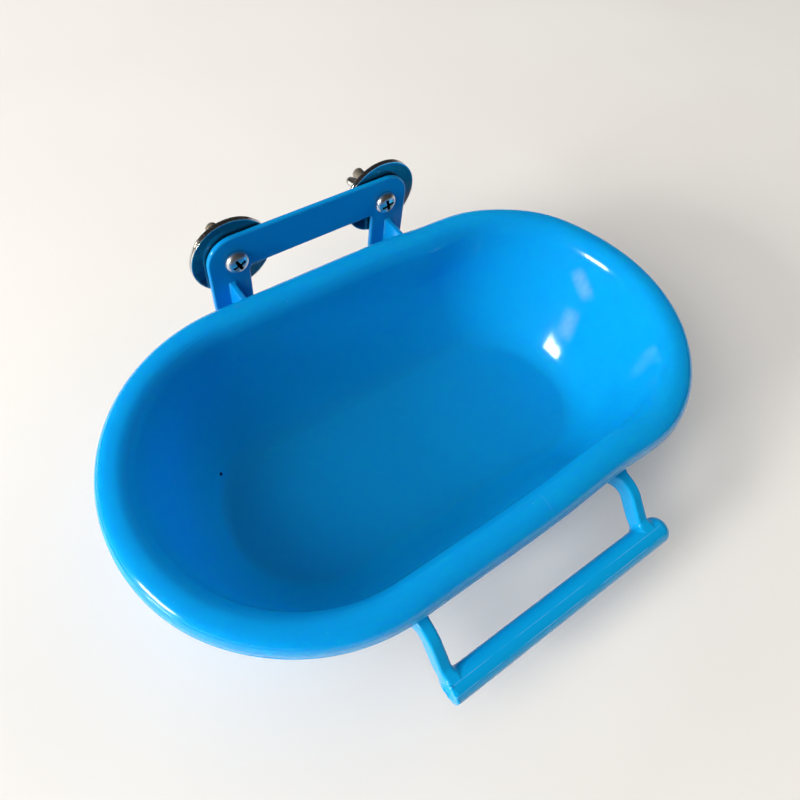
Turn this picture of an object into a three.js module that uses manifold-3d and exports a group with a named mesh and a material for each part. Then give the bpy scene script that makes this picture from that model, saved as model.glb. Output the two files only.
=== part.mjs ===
// Hanging bird bath for a wire cage: an oval tub with a rolled lip, a hanger bracket behind it,
// a perch in front, and two screw clamps that grip the cage wires between pairs of washers.
// Millimetres, +Z up, +X along the tub, +Y towards the cage wires.
// The origin is the centre of the tub's flat underside.
import * as THREE from "three";
import { mergeVertices } from "three/addons/utils/BufferGeometryUtils.js";
import Module from "manifold-3d";

const wasm = await Module();
wasm.setup();

// Tub: sizes over the lip, and the inside floor measured to the foot lines of the walls
const TUB_LENGTH = 192;
const TUB_WIDTH = 112;
const TUB_HEIGHT = 46;
const WALL = 2;
const FLOOR = 2.2;
const FLOOR_LENGTH = 143;
const FLOOR_WIDTH = 75;
const FLOOR_FILLET = 9;
const LIP_RADIUS = 5;
const LIP_SKIRT = 3;

// Hanger bracket: an upright plate on two legs, with a ledge and a web joining each leg to the tub
const HANGER_STANDOFF = 6.5;
const PLATE = 1.8;
const PLATE_EDGE = 0.5;
const SCREW_SPACING = 55.6;
const SCREW_RISE = 7;
const CORNER_RADIUS = 9.2;
const BAR_BELOW_SCREW = 4.8;
const LEG_INSIDE_SCREW = 4.6;
const WINDOW_FILLET = 1.5;
const LEDGE = 2.8;
const LEDGE_BELOW_LIP = 12.8;
const WEB = 1.9;
const WEB_BELOW_LIP = 1.9;

// Perch: a round bar on two upright ribs that run level out of the tub and then slope down
const PERCH_DIAMETER = 8.6;
const PERCH_LEFT = 40.7;
const PERCH_RIGHT = 42.4;
const PERCH_REACH = 15.5;
const PERCH_BELOW_LIP = 25.6;
const PERCH_EDGE = 0.6;
const ARM_WIDTH = 3.7;
const ARM_DEPTH = 5.6;
const ARM_BELOW_LIP = 15.1;
const ARM_RUN = 2.1;
const ARM_SLOPE = THREE.MathUtils.degToRad(46);
const ARM_EDGE = 0.6;
const ELBOW_ROUND = 2.2;
const HEEL_ROUND = 3;
const HEEL_DROP = 0.5;
const CROWN_RISE = 2.6;
const LEFT_ARM_INSET = 0.1;
const RIGHT_ARM_INSET = 3.9;

// Clamp hardware: pan-head screw, two washers and a wing nut on each side
const SCREW_DIAMETER = 4;
const SCREW_LENGTH = 16;
const SCREW_CHAMFER = 0.6;
const HEAD_DIAMETER = 7.6;
const HEAD_HEIGHT = 2.6;
const HEAD_RIM = 0.7;
const HEAD_CROWN = 3.4;
const RECESS_LENGTH = 4.4;
const RECESS_WIDTH = 0.9;
const RECESS_DEPTH = 1.6;
const WASHER_DIAMETER = 27;
const WASHER = 0.7;
const NUT_BASE_DIAMETER = 8.4;
const NUT_TOP_DIAMETER = 6.8;
const NUT_HEIGHT = 4;
const WING_SPAN = 18;
const WING_HEIGHT = 8.5;
const WING_TIP_RADIUS = 2.6;
const WING_TIP_SWEEP = THREE.MathUtils.degToRad(145);
const WING_ROOT_RISE = 0.8;
const WING = 1.8;
const WING_EDGE = 0.4;
const LEFT_WING_TURN = THREE.MathUtils.degToRad(110);
const RIGHT_WING_TURN = THREE.MathUtils.degToRad(66);

// Clearances
const WELD_GAP = 0.3;
const SEAT_GAP = 0.3;
const HOLE_CLEARANCE = 0.25;
const THREAD_CLEARANCE = 0.15;

// Facets
const END_ARC_STEPS = 20;
const SECTION_ARC_STEPS = 4;
const ROUND_STEPS = 32;
const WASHER_STEPS = 48;
const ARM_STEPS = 5;
const EAR_STEPS = 6;
const EDGE_STEPS = 2;

// Derived places
const HALF_STRAIGHT = (TUB_LENGTH - TUB_WIDTH) / 2;
const HALF_WIDTH = TUB_WIDTH / 2;
const LIP_CENTRE_REACH = HALF_WIDTH - LIP_RADIUS;
const LIP_CENTRE_Z = TUB_HEIGHT - LIP_RADIUS;
const SKIRT_Z = LIP_CENTRE_Z - LIP_SKIRT;
const SIDE_FOOT = FLOOR_WIDTH / 2;
const END_FOOT = FLOOR_LENGTH / 2 - HALF_STRAIGHT;
const SCREW_X = SCREW_SPACING / 2;
const SCREW_Z = TUB_HEIGHT + SCREW_RISE;
const PLATE_FRONT = HALF_WIDTH + HANGER_STANDOFF;
const PLATE_BACK = PLATE_FRONT + PLATE;
const FRONT_WASHER_Y = PLATE_BACK + SEAT_GAP;
const REAR_WASHER_Y = FRONT_WASHER_Y + WASHER + SEAT_GAP;
const NUT_Y = REAR_WASHER_Y + WASHER + SEAT_GAP;
const SCREW_RADIUS = SCREW_DIAMETER / 2;
const HOLE_RADIUS = SCREW_RADIUS + HOLE_CLEARANCE;
const LEG_OUTER = SCREW_X + CORNER_RADIUS;
const LEG_INNER = SCREW_X - LEG_INSIDE_SCREW;
const LEG_CENTRE = (LEG_OUTER + LEG_INNER) / 2;
const PERCH_Y = -(HALF_WIDTH + PERCH_REACH);
const PERCH_Z = TUB_HEIGHT - PERCH_BELOW_LIP;

const bluePlastic = new THREE.MeshStandardMaterial({ color: 0x0a86d6, roughness: 0.28, metalness: 0 });
const polishedSteel = new THREE.MeshStandardMaterial({ color: 0xc9cacb, roughness: 0.14, metalness: 1 });
const platedSteel = new THREE.MeshStandardMaterial({ color: 0xbdb8ae, roughness: 0.3, metalness: 1 });

const bath = new THREE.Group();

function addPiece(name, geometry, material) {
  const mesh = new THREE.Mesh(geometry, material);
  mesh.name = name;
  bath.add(mesh);
  return mesh;
}

// A closed three.js geometry as a solid that can be joined and cut
function solid(geometry) {
  const bare = geometry.clone();
  bare.deleteAttribute("normal");
  bare.deleteAttribute("uv");
  const merged = mergeVertices(bare);
  return new wasm.Manifold(
    new wasm.Mesh({
      numProp: 3,
      vertProperties: Float32Array.from(merged.attributes.position.array),
      triVerts: Uint32Array.from(merged.index.array),
    }),
  );
}

function geometryOf(body) {
  const mesh = body.getMesh();
  const geometry = new THREE.BufferGeometry();
  geometry.setAttribute("position", new THREE.BufferAttribute(mesh.vertProperties, 3));
  geometry.setIndex(new THREE.BufferAttribute(mesh.triVerts, 1));
  geometry.computeVertexNormals();
  return geometry;
}

function box(x0, x1, y0, y1, z0, z1) {
  const geometry = new THREE.BoxGeometry(x1 - x0, y1 - y0, z1 - z0);
  return geometry.translate((x0 + x1) / 2, (y0 + y1) / 2, (z0 + z1) / 2);
}

// An outline extruded to a thickness, from 0 upwards, with its edges rounded inside that thickness
function roundedExtrude(shape, thickness, edge, curveSegments) {
  const geometry = new THREE.ExtrudeGeometry(shape, {
    depth: thickness - 2 * edge,
    bevelThickness: edge,
    bevelSize: edge,
    bevelOffset: -edge,
    bevelSegments: EDGE_STEPS,
    curveSegments,
  });
  return geometry.translate(0, 0, edge);
}

// The leaning wall of a tub section that stands on the floor at `foot`: its lean from the vertical,
// so that its inside face runs as a tangent into the roll of the lip
function wallLean(foot) {
  const across = LIP_CENTRE_REACH - foot;
  const up = LIP_CENTRE_Z - FLOOR;
  return Math.atan2(across, up) - Math.asin(LIP_RADIUS / Math.hypot(across, up));
}

// Reach of the centre of a fillet between a level floor and the wall that meets it at `foot`
function filletReach(foot, radius, lean) {
  return foot - (radius * (1 - Math.sin(lean))) / Math.cos(lean);
}

// Where a face lying `behind` the inside wall face crosses the level z
function faceReach(foot, lean, behind, z) {
  return foot + (behind + (z - FLOOR) * Math.sin(lean)) / Math.cos(lean);
}

// Tub wall in section, reach against height: underside, outside, lip and inside, from axis to axis
function shellSection(foot) {
  const lean = wallLean(foot);
  const outerFillet = FLOOR_FILLET + WALL;
  const outerCentre = filletReach(faceReach(foot, lean, WALL, 0), outerFillet, lean);
  const innerCentre = filletReach(foot, FLOOR_FILLET, lean);
  const hollow = LIP_RADIUS - WALL;
  const path = new THREE.Path();
  path.moveTo(0, 0);
  path.lineTo(outerCentre, 0);
  path.absarc(outerCentre, outerFillet, outerFillet, -Math.PI / 2, -lean, false);
  path.absarc(LIP_CENTRE_REACH, LIP_CENTRE_Z, hollow, Math.PI - lean, 0, true);
  path.absarc(HALF_WIDTH - WALL / 2, SKIRT_Z + WALL / 2, WALL / 2, Math.PI, 2 * Math.PI, false);
  path.absarc(LIP_CENTRE_REACH, LIP_CENTRE_Z, LIP_RADIUS, 0, Math.PI - lean, false);
  path.absarc(innerCentre, FLOOR + FLOOR_FILLET, FLOOR_FILLET, -lean, -Math.PI / 2, true);
  path.lineTo(0, FLOOR);
  return path.getPoints(SECTION_ARC_STEPS);
}

// The tub's outside with its hollow filled, grown by the weld gap: it trims what is welded to the tub
function trimSection(foot) {
  const lean = wallLean(foot);
  const behind = WALL + WELD_GAP;
  const path = new THREE.Path();
  path.moveTo(0, -WELD_GAP);
  path.lineTo(faceReach(foot, lean, behind, -WELD_GAP), -WELD_GAP);
  path.lineTo(faceReach(foot, lean, behind, SKIRT_Z - WELD_GAP), SKIRT_Z - WELD_GAP);
  path.lineTo(HALF_WIDTH + WELD_GAP, SKIRT_Z - WELD_GAP);
  path.absarc(LIP_CENTRE_REACH, LIP_CENTRE_Z, LIP_RADIUS + WELD_GAP, 0, Math.PI / 2, false);
  path.lineTo(0, TUB_HEIGHT + WELD_GAP);
  return path.getPoints(SECTION_ARC_STEPS);
}

// Sweeps a section round the oval plan: the side section along the straights, easing through
// quarter arcs into the end section, with the arcs' centres at the ends of the straight sides
function racetrackLoft(sectionAt) {
  const side = sectionAt(SIDE_FOOT);
  const end = sectionAt(END_FOOT);
  const ring = [];
  for (let k = 0; k <= END_ARC_STEPS; k += 1) {
    ring.push({ turn: -Math.PI / 2 + (Math.PI * k) / END_ARC_STEPS, centre: HALF_STRAIGHT });
  }
  for (let k = 0; k <= END_ARC_STEPS; k += 1) {
    ring.push({ turn: Math.PI / 2 + (Math.PI * k) / END_ARC_STEPS, centre: -HALF_STRAIGHT });
  }
  const positions = [];
  for (let row = 0; row < side.length; row += 1) {
    for (const { turn, centre } of ring) {
      const along = Math.cos(turn);
      const share = along * along;
      positions.push(centre + end[row].x * along);
      positions.push(side[row].x * Math.sin(turn));
      positions.push(side[row].y * (1 - share) + end[row].y * share);
    }
  }
  const index = [];
  for (let row = 0; row + 1 < side.length; row += 1) {
    for (let k = 0; k < ring.length; k += 1) {
      const next = (k + 1) % ring.length;
      const a = row * ring.length + k;
      const b = row * ring.length + next;
      const c = a + ring.length;
      const d = b + ring.length;
      index.push(a, b, d, a, d, c);
    }
  }
  const geometry = new THREE.BufferGeometry();
  geometry.setAttribute("position", new THREE.Float32BufferAttribute(positions, 3));
  geometry.setIndex(index);
  return geometry;
}

function hangerOutline() {
  const barBottom = SCREW_Z - BAR_BELOW_SCREW;
  const filletX = LEG_INNER - WINDOW_FILLET;
  const filletZ = barBottom - WINDOW_FILLET;
  const footZ = TUB_HEIGHT - LEDGE_BELOW_LIP - LEDGE;
  const shape = new THREE.Shape();
  shape.moveTo(LEG_INNER, footZ);
  shape.lineTo(LEG_OUTER, footZ);
  shape.absarc(SCREW_X, SCREW_Z, CORNER_RADIUS, 0, Math.PI / 2, false);
  shape.absarc(-SCREW_X, SCREW_Z, CORNER_RADIUS, Math.PI / 2, Math.PI, false);
  shape.lineTo(-LEG_OUTER, footZ);
  shape.lineTo(-LEG_INNER, footZ);
  shape.absarc(-filletX, filletZ, WINDOW_FILLET, Math.PI, Math.PI / 2, true);
  shape.absarc(filletX, filletZ, WINDOW_FILLET, Math.PI / 2, 0, true);
  shape.lineTo(LEG_INNER, footZ);
  for (const x of [-SCREW_X, SCREW_X]) {
    const hole = new THREE.Path();
    hole.absarc(x, SCREW_Z, HOLE_RADIUS, 0, 2 * Math.PI, true);
    shape.holes.push(hole);
  }
  return shape;
}

function hangerBracket(tubTrim) {
  const webTop = TUB_HEIGHT - WEB_BELOW_LIP;
  const ledgeTop = TUB_HEIGHT - LEDGE_BELOW_LIP;
  const footZ = ledgeTop - LEDGE;
  const plateMiddle = PLATE_BACK - PLATE / 2;
  const plate = roundedExtrude(hangerOutline(), PLATE, PLATE_EDGE, ROUND_STEPS / 4);
  let body = solid(plate.rotateX(Math.PI / 2).translate(0, PLATE_BACK, 0));
  for (const side of [-1, 1]) {
    const inner = Math.min(side * LEG_INNER, side * LEG_OUTER);
    const outer = Math.max(side * LEG_INNER, side * LEG_OUTER);
    const webX = side * LEG_CENTRE;
    const ledge = box(inner, outer, SIDE_FOOT, plateMiddle, footZ, ledgeTop);
    const web = box(webX - WEB / 2, webX + WEB / 2, SIDE_FOOT, plateMiddle, footZ + LEDGE / 2, webTop);
    body = body.add(solid(ledge).add(solid(web)).subtract(tubTrim));
  }
  return geometryOf(body);
}

// An arm seen from the side: level out of the tub, a rounded elbow, a slope down into the bar, and a rounded heel
function armOutline() {
  const middleZ = TUB_HEIGHT - ARM_BELOW_LIP;
  const elbowY = -(HALF_WIDTH + ARM_RUN);
  const mitre = (ARM_DEPTH / 2) * Math.tan(ARM_SLOPE / 2);
  const down = new THREE.Vector2(-Math.cos(ARM_SLOPE), -Math.sin(ARM_SLOPE));
  const top = new THREE.Vector2(elbowY - mitre, middleZ + ARM_DEPTH / 2);
  const under = new THREE.Vector2(elbowY + mitre, middleZ - ARM_DEPTH / 2);
  const heelZ = PERCH_Z - HEEL_DROP;
  const crownRun = (top.y - PERCH_Z - CROWN_RISE) / Math.sin(ARM_SLOPE);
  const heelRun = (under.y - heelZ) / Math.sin(ARM_SLOPE);
  const crown = top.clone().addScaledVector(down, crownRun);
  const heel = under.clone().addScaledVector(down, heelRun);
  const topEnd = top.clone().addScaledVector(down, ELBOW_ROUND);
  const underEnd = under.clone().addScaledVector(down, ELBOW_ROUND);
  const heelStart = heel.clone().addScaledVector(down, -HEEL_ROUND);
  const shape = new THREE.Shape();
  shape.moveTo(-SIDE_FOOT, top.y);
  shape.lineTo(top.x + ELBOW_ROUND, top.y);
  shape.quadraticCurveTo(top.x, top.y, topEnd.x, topEnd.y);
  shape.lineTo(crown.x, crown.y);
  shape.lineTo(PERCH_Y, heelZ);
  shape.lineTo(heel.x - HEEL_ROUND, heelZ);
  shape.quadraticCurveTo(heel.x, heelZ, heelStart.x, heelStart.y);
  shape.lineTo(underEnd.x, underEnd.y);
  shape.quadraticCurveTo(under.x, under.y, under.x + ELBOW_ROUND, under.y);
  shape.lineTo(-SIDE_FOOT, under.y);
  return shape;
}

function perch(tubTrim) {
  const radius = PERCH_DIAMETER / 2;
  const profile = [
    new THREE.Vector2(0, -PERCH_LEFT),
    new THREE.Vector2(radius - PERCH_EDGE, -PERCH_LEFT),
    new THREE.Vector2(radius, -PERCH_LEFT + PERCH_EDGE),
    new THREE.Vector2(radius, PERCH_RIGHT - PERCH_EDGE),
    new THREE.Vector2(radius - PERCH_EDGE, PERCH_RIGHT),
    new THREE.Vector2(0, PERCH_RIGHT),
  ];
  const bar = new THREE.LatheGeometry(profile, ROUND_STEPS).rotateZ(-Math.PI / 2);
  let body = solid(bar.translate(0, PERCH_Y, PERCH_Z));
  for (const start of [LEFT_ARM_INSET - PERCH_LEFT, PERCH_RIGHT - RIGHT_ARM_INSET - ARM_WIDTH]) {
    const arm = roundedExtrude(armOutline(), ARM_WIDTH, ARM_EDGE, ARM_STEPS);
    const placed = arm.rotateX(Math.PI / 2).rotateZ(Math.PI / 2).translate(start, 0, 0);
    body = body.add(solid(placed).subtract(tubTrim));
  }
  return geometryOf(body);
}

// Pan-head screw along +Y, its head in front of the hanger plate
function screw() {
  const underHead = PLATE_FRONT - SEAT_GAP;
  const tip = underHead + SCREW_LENGTH;
  const headRadius = HEAD_DIAMETER / 2;
  const dome = new THREE.QuadraticBezierCurve(
    new THREE.Vector2(0, underHead - HEAD_HEIGHT),
    new THREE.Vector2(HEAD_CROWN, underHead - HEAD_HEIGHT),
    new THREE.Vector2(headRadius, underHead - HEAD_RIM),
  );
  const profile = [
    ...dome.getPoints(SECTION_ARC_STEPS),
    new THREE.Vector2(headRadius, underHead),
    new THREE.Vector2(SCREW_RADIUS, underHead),
    new THREE.Vector2(SCREW_RADIUS, tip - SCREW_CHAMFER),
    new THREE.Vector2(SCREW_RADIUS - SCREW_CHAMFER, tip),
    new THREE.Vector2(0, tip),
  ];
  let body = solid(new THREE.LatheGeometry(profile, ROUND_STEPS));
  for (const turn of [0, Math.PI / 2]) {
    body = body.subtract(solid(recessBlade(underHead - HEAD_HEIGHT).rotateY(turn)));
  }
  return geometryOf(body);
}

// One blade of the cross recess: a wedge that narrows with depth
function recessBlade(headTop) {
  const mouth = RECESS_LENGTH / 2;
  const shape = new THREE.Shape();
  shape.moveTo(-mouth, headTop - RECESS_WIDTH);
  shape.lineTo(mouth, headTop - RECESS_WIDTH);
  shape.lineTo(mouth, headTop);
  shape.lineTo(RECESS_WIDTH / 2, headTop + RECESS_DEPTH);
  shape.lineTo(-RECESS_WIDTH / 2, headTop + RECESS_DEPTH);
  shape.lineTo(-mouth, headTop);
  const blade = new THREE.ExtrudeGeometry(shape, { depth: RECESS_WIDTH, bevelEnabled: false });
  return blade.translate(0, 0, -RECESS_WIDTH / 2);
}

function washer(y) {
  const radius = WASHER_DIAMETER / 2;
  const profile = [
    new THREE.Vector2(HOLE_RADIUS, y),
    new THREE.Vector2(radius, y),
    new THREE.Vector2(radius, y + WASHER),
    new THREE.Vector2(HOLE_RADIUS, y + WASHER),
    new THREE.Vector2(HOLE_RADIUS, y),
  ];
  return new THREE.LatheGeometry(profile, WASHER_STEPS);
}

// One ear of the wing nut in section, reach against distance behind the nut's face
function earOutline() {
  const tipReach = WING_SPAN / 2 - WING_TIP_RADIUS;
  const tipRise = WING_HEIGHT - WING_TIP_RADIUS;
  const root = (SCREW_RADIUS + THREAD_CLEARANCE + NUT_TOP_DIAMETER / 2) / 2;
  const shape = new THREE.Shape();
  shape.moveTo(root, WING_ROOT_RISE);
  shape.quadraticCurveTo(tipReach, WING_ROOT_RISE, WING_SPAN / 2, tipRise);
  shape.absarc(tipReach, tipRise, WING_TIP_RADIUS, 0, WING_TIP_SWEEP, false);
  shape.quadraticCurveTo(NUT_TOP_DIAMETER / 2 + WING, NUT_HEIGHT, root, NUT_HEIGHT);
  return shape;
}

// Wing nut with its face at y = 0 and its wings up and down
function wingNut() {
  const bore = SCREW_RADIUS + THREAD_CLEARANCE;
  const barrel = [
    new THREE.Vector2(bore, 0),
    new THREE.Vector2(NUT_BASE_DIAMETER / 2, 0),
    new THREE.Vector2(NUT_TOP_DIAMETER / 2, NUT_HEIGHT),
    new THREE.Vector2(bore, NUT_HEIGHT),
    new THREE.Vector2(bore, 0),
  ];
  let body = solid(new THREE.LatheGeometry(barrel, ROUND_STEPS));
  for (const turn of [Math.PI / 2, -Math.PI / 2]) {
    const ear = roundedExtrude(earOutline(), WING, WING_EDGE, EAR_STEPS);
    body = body.add(solid(ear.translate(0, 0, -WING / 2).rotateY(turn)));
  }
  return geometryOf(body);
}

const tubTrim = solid(racetrackLoft(trimSection));
addPiece("tub", geometryOf(solid(racetrackLoft(shellSection))), bluePlastic);
addPiece("hanger_bracket", hangerBracket(tubTrim), bluePlastic);
addPiece("perch", perch(tubTrim), bluePlastic);

const clamps = [
  { side: "left", x: -SCREW_X, wingTurn: LEFT_WING_TURN },
  { side: "right", x: SCREW_X, wingTurn: RIGHT_WING_TURN },
];
for (const { side, x, wingTurn } of clamps) {
  addPiece(`${side}_screw`, screw(), polishedSteel).position.set(x, 0, SCREW_Z);
  addPiece(`${side}_front_washer`, washer(FRONT_WASHER_Y), polishedSteel).position.set(x, 0, SCREW_Z);
  addPiece(`${side}_rear_washer`, washer(REAR_WASHER_Y), polishedSteel).position.set(x, 0, SCREW_Z);
  const nut = addPiece(`${side}_wing_nut`, wingNut(), platedSteel);
  nut.position.set(x, NUT_Y, SCREW_Z);
  nut.rotation.y = -wingTurn;
}

export default bath;
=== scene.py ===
"""Looks of a hanging bird bath for a wire cage: a blue tub, hanger and perch, with two steel clamps."""
import math

import bmesh
import bpy
import numpy as np
from mathutils import Matrix


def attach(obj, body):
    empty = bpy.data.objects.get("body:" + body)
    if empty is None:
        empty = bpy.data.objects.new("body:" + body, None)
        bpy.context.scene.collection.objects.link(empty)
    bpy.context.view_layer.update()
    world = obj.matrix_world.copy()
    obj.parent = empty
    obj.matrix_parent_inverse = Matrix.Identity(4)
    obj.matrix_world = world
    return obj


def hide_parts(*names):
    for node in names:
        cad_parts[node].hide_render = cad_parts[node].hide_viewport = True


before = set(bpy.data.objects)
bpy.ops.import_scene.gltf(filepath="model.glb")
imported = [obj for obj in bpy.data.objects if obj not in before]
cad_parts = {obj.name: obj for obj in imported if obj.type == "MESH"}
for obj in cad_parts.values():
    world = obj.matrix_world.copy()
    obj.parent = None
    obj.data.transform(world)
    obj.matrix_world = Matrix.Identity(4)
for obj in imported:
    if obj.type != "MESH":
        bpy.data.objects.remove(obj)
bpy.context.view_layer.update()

# Shapes are worked out in millimetres, in the frame of the solids
MM = 0.001
MERGE = 1e-7
SHARP_TURN = math.radians(38)
CORNER_STEPS = 6
SMALLEST_ROUND = 0.05
EDGE_STEPS = 7
FACE_INSET = 1.35
FACE_RINGS = 6
HOLLOW_FADE = (-1.4, -0.2)

# Tub
TUB_LENGTH = 192
TUB_WIDTH = 112
TUB_HEIGHT = 46
WALL = 2
FLOOR = 2.2
FLOOR_LENGTH = 143
FLOOR_WIDTH = 75
FLOOR_FILLET = 9
LIP_RADIUS = 5
LIP_SKIRT = 3
LIP_FLAT = 0.42
LIP_FLAT_TURN = math.radians(86)
LIP_FLAT_WIDTH = math.radians(32)
LIP_GROOVE = 0.13
LIP_GROOVE_TURNS = (math.radians(15), math.radians(38))
LIP_GROOVE_WIDTH = math.radians(2.2)
SHOULDER_TURN = math.radians(128)
SIDE_INSIDE = {"softness": 6, "more_lean": 0, "wall_hold": 21, "floor_hold": 8, "shoulder": 7.5}
LEFT_INSIDE = {"softness": 1, "more_lean": 0, "wall_hold": 21, "floor_hold": 7, "shoulder": 7.5}
RIGHT_INSIDE = {
    "softness": 3, "more_lean": math.radians(2), "wall_hold": 22, "floor_hold": 8, "shoulder": 10,
}
RIGHT_FLOOR_SHIFT = 4
FRONT_PINCH = 0.7
FRONT_RIGHT_PINCH = {"x": 36, "width": 21, "depth": 1.5}
BACK_RIGHT_PINCH = {"x": 42, "width": 14, "depth": 1.6}
FAR_CORNER = {"x": 80, "y": 34, "width": 14, "rise": 1.2}
ROOT_SINK = 0.5
PARTING_RISE = 0.16
PARTING_WIDTH = 0.3
PARTING_DROP = 1.2
LIP_SWAY = 0.25
SWAY_PHASE = 0.9
UNDERSIDE_STEPS = 9
FOOT_STEPS = 12
UNDER_LIP_STEPS = 14
SKIRT_EDGE_STEPS = 12
SKIRT_STEPS = 18
LIP_STEPS = 160
SHOULDER_STEPS = 16
INSIDE_STEPS = 40
FLOOR_STEPS = 11
END_STEPS = 97
SIDE_STEPS = 25

# Hanger bracket
HANGER_STANDOFF = 6.5
PLATE = 1.8
PLATE_EDGE = 0.75
SCREW_SPACING = 55.6
SCREW_RISE = 7
CORNER_RADIUS = 9.2
BAR_BELOW_SCREW = 4.8
LEG_INSIDE_SCREW = 4.6
WINDOW_FILLET = 1.5
FOOT_CORNER = 1.0
LEDGE = 2.8
LEDGE_BELOW_LIP = 12.8
WEB = 1.9
WEB_BELOW_LIP = 1.9
WEB_FLARE = 0.4
WEB_FLARE_RUN = 0.5
WEB_CORNER = 0.5
WEB_END = 0.4
BAR_STEPS = 14
WINDOW_STEPS = 9
HEEL_STEPS = 6
PLATE_CORNER_STEPS = 25
MIDDLE_STEPS = 8
WEB_STEPS = 48

# Perch
PERCH_DIAMETER = 8.6
PERCH_LEFT = 41
PERCH_RIGHT = 43.5
PERCH_REACH = 15.5
PERCH_BELOW_LIP = 25.6
PERCH_LEFT_EDGE = 0.6
PERCH_RIGHT_EDGE = 3.0
ARM_WIDTH = 3.7
ARM_DEPTH = 5.6
ARM_BELOW_LIP = 15.1
ARM_RUN = 2.1
ARM_SLOPE = math.radians(46)
ARM_EDGE = 0.8
ELBOW_ROUND = 3
HEEL_ROUND = 3
INNER_FILLET = 2.0
OUTER_FILLET = 1.5
ROOT_FLARE = 0.9
ROOT_RUN = 1.2
LEFT_ARM_INSET = 0.1
RIGHT_ARM_INSET = 5.0
GATE_RADIUS = 2.2
GATE_RISE = 0.4
GATE_RAGGED = 0.16
GATE_RAGGED_BAND = (1.2, 0.2)
GATE_SOFT = (0.5, -0.3)
GATE_WANDER = 0.25
GATE_PITS = 0.3
GATE_MIDDLE = 0.1
GATE_WAVES = ((5, 0.7, 1), (11, 2.1, 0.6), (17, 0.3, 0.4))
SEAM_TURNS = (math.radians(89), math.radians(129))
# How pale the painted highlight along each seam is
SEAM_HIGHLIGHT_PALENESS = (0.2, 0.5)
SEAM_WIDTH = 0.035
SEAM_RISE = 0.07
INNER_SIDE = -0.3
BACK_SIDE = 0.6
ARM_ROOT_STEPS = 30
ARM_BEND_STEPS = 16
ARM_END_STEPS = 10
ARM_FLAT_STEPS = 10
PERCH_FACE_STEPS = 14
PERCH_EDGE_STEPS = 6
PERCH_STEPS = 240
PERCH_DOME_STEPS = 14
PERCH_TIP_STEPS = 8
PERCH_TURN_STEPS = 144

# Clamp hardware, along Y
SCREW_AXIS = 1
SCREW_DIAMETER = 4
SCREW_LENGTH = 17.4
SCREW_CHAMFER = 0.6
THREAD_PITCH = 0.7
THREAD_DEPTH = 0.4
THREAD_RUN_OUT = 1.2
THREAD_SHARPNESS = 1.25
THREAD_CREST = 0.12
HEAD_DIAMETER = 7.6
HEAD_HEIGHT = 2.6
HEAD_RIM = 0.7
HEAD_CROWN = 3.4
HEAD_BAND_DROP = 0.2
HEAD_UNDER_ROUND = 0.15
SHANK_ROOT = 0.02
RECESS_REACH = 2.3
RECESS_WIDTH = 0.95
RECESS_DEPTH = 1.7
RECESS_SIDE = (0.1, -0.12)
RECESS_TAPER = 0.7
SCREW_TURN_STEPS = 160
HEAD_STEPS = 72
THREAD_STEPS = 300
WASHER_DIAMETER = 27
WASHER = 0.7
WASHER_EDGE = 0.14
WASHER_FACE_STEPS = 12
WASHER_HOLE_STEPS = 5
WASHER_RIM_STEPS = 6
WASHER_TURN_STEPS = 192
NUT_BASE_DIAMETER = 8.4
NUT_TOP_DIAMETER = 6.8
NUT_HEIGHT = 4
NUT_CHAMFER = 0.3
NUT_BASE_EDGE = 0.09
NUT_CROWN_INSETS = ((-0.05, 0.5), (0.08, 0.13), (0.4, 0))
NUT_TURN_STEPS = 96
WING_SPAN = 18
WING_HEIGHT = 8.5
WING_TIP_RADIUS = 2.6
WING_TIP_SWEEP = math.radians(145)
WING_ROOT_RISE = 0.8
WING = 1.8
WING_EDGE = 0.6
WING_HUB_SHIFT = (0.6, 0.8)
WING_STEPS = 24
WING_ROOT_STEPS = 8
SEAT_GAP = 0.3
HOLE_CLEARANCE = 0.25
THREAD_CLEARANCE = 0.15
CLAMPS = {
    "left": {"x": -SCREW_SPACING / 2, "wing_turn": math.radians(110), "recess_turn": math.radians(24)},
    "right": {"x": SCREW_SPACING / 2, "wing_turn": math.radians(66), "recess_turn": math.radians(14)},
}

# Plastic
DEEP_BLUE = (0.002, 0.30, 0.67, 1)
BRIGHT_BLUE = (0.002, 0.333, 0.70, 1)
# Painted shade: the hanger is the tub's plastic, its colours darkened for the shade it stands in
SHADED_BLUE = (0.002, 0.205, 0.60, 1)
DRIFT = {"scale": 9, "detail": 2, "low": 0.3, "high": 0.7}
DRIFT_SHARE = 0.6
HAZE = {"scale": 60, "detail": 4, "low": 0.35, "high": 0.75}
HAZE_SHARE = 0.15
HAIRS = {"scale": 1, "detail": 1, "low": 0.74, "high": 0.8}
HAIR_RUNS = (((18, 700, 300), 0.5), ((700, 26, 300), 0.2), ((30, 900, 500), -0.7))
SCRATCHED = {"scale": 34, "detail": 2, "low": 0.58, "high": 0.72}
SCRATCH_PALENESS = 0.05
SCRATCH_DULLING = 0.08
SCRATCH_SINK = 0.15
MOTES = {"scale": 1500, "detail": 0, "low": 0.86, "high": 0.9}
MOTE_PALENESS = 0.2
MOTE_DULLING = 0.1
PALE_SHARE = 0.3
SMEAR = {"scale": 42, "detail": 5, "low": 0.45, "high": 0.75}
SMEAR_STRETCH = (1, 2.2, 1)
SMEAR_TURN = 0.6
SMEAR_DULLING = 0.05
GLOSS = 0.11
PEEL_SCALE = 420
PEEL_SHARE = 0.4
PEEL_DEPTH = 0.02
PEEL_STRENGTH = 0.5
GRAIN_SHARE = 0.8
BAR_GRAIN = (12, 1400, 1400)
WAVE_SCALE = 38
WAVE_DEPTH = 0.5
WAVE_STRENGTH = 0.25
PLASTIC_IOR = 1.49
PLASTIC_SHINE = 0.42
SHINE_TINT = (0.8, 0.94, 1, 1)
THIN_WALL_GLOW = 0.8
NO_GLOW = 0
GLOW_RADIUS = (0.05, 0.4, 1)
GLOW_DEPTH = 4.5
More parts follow.
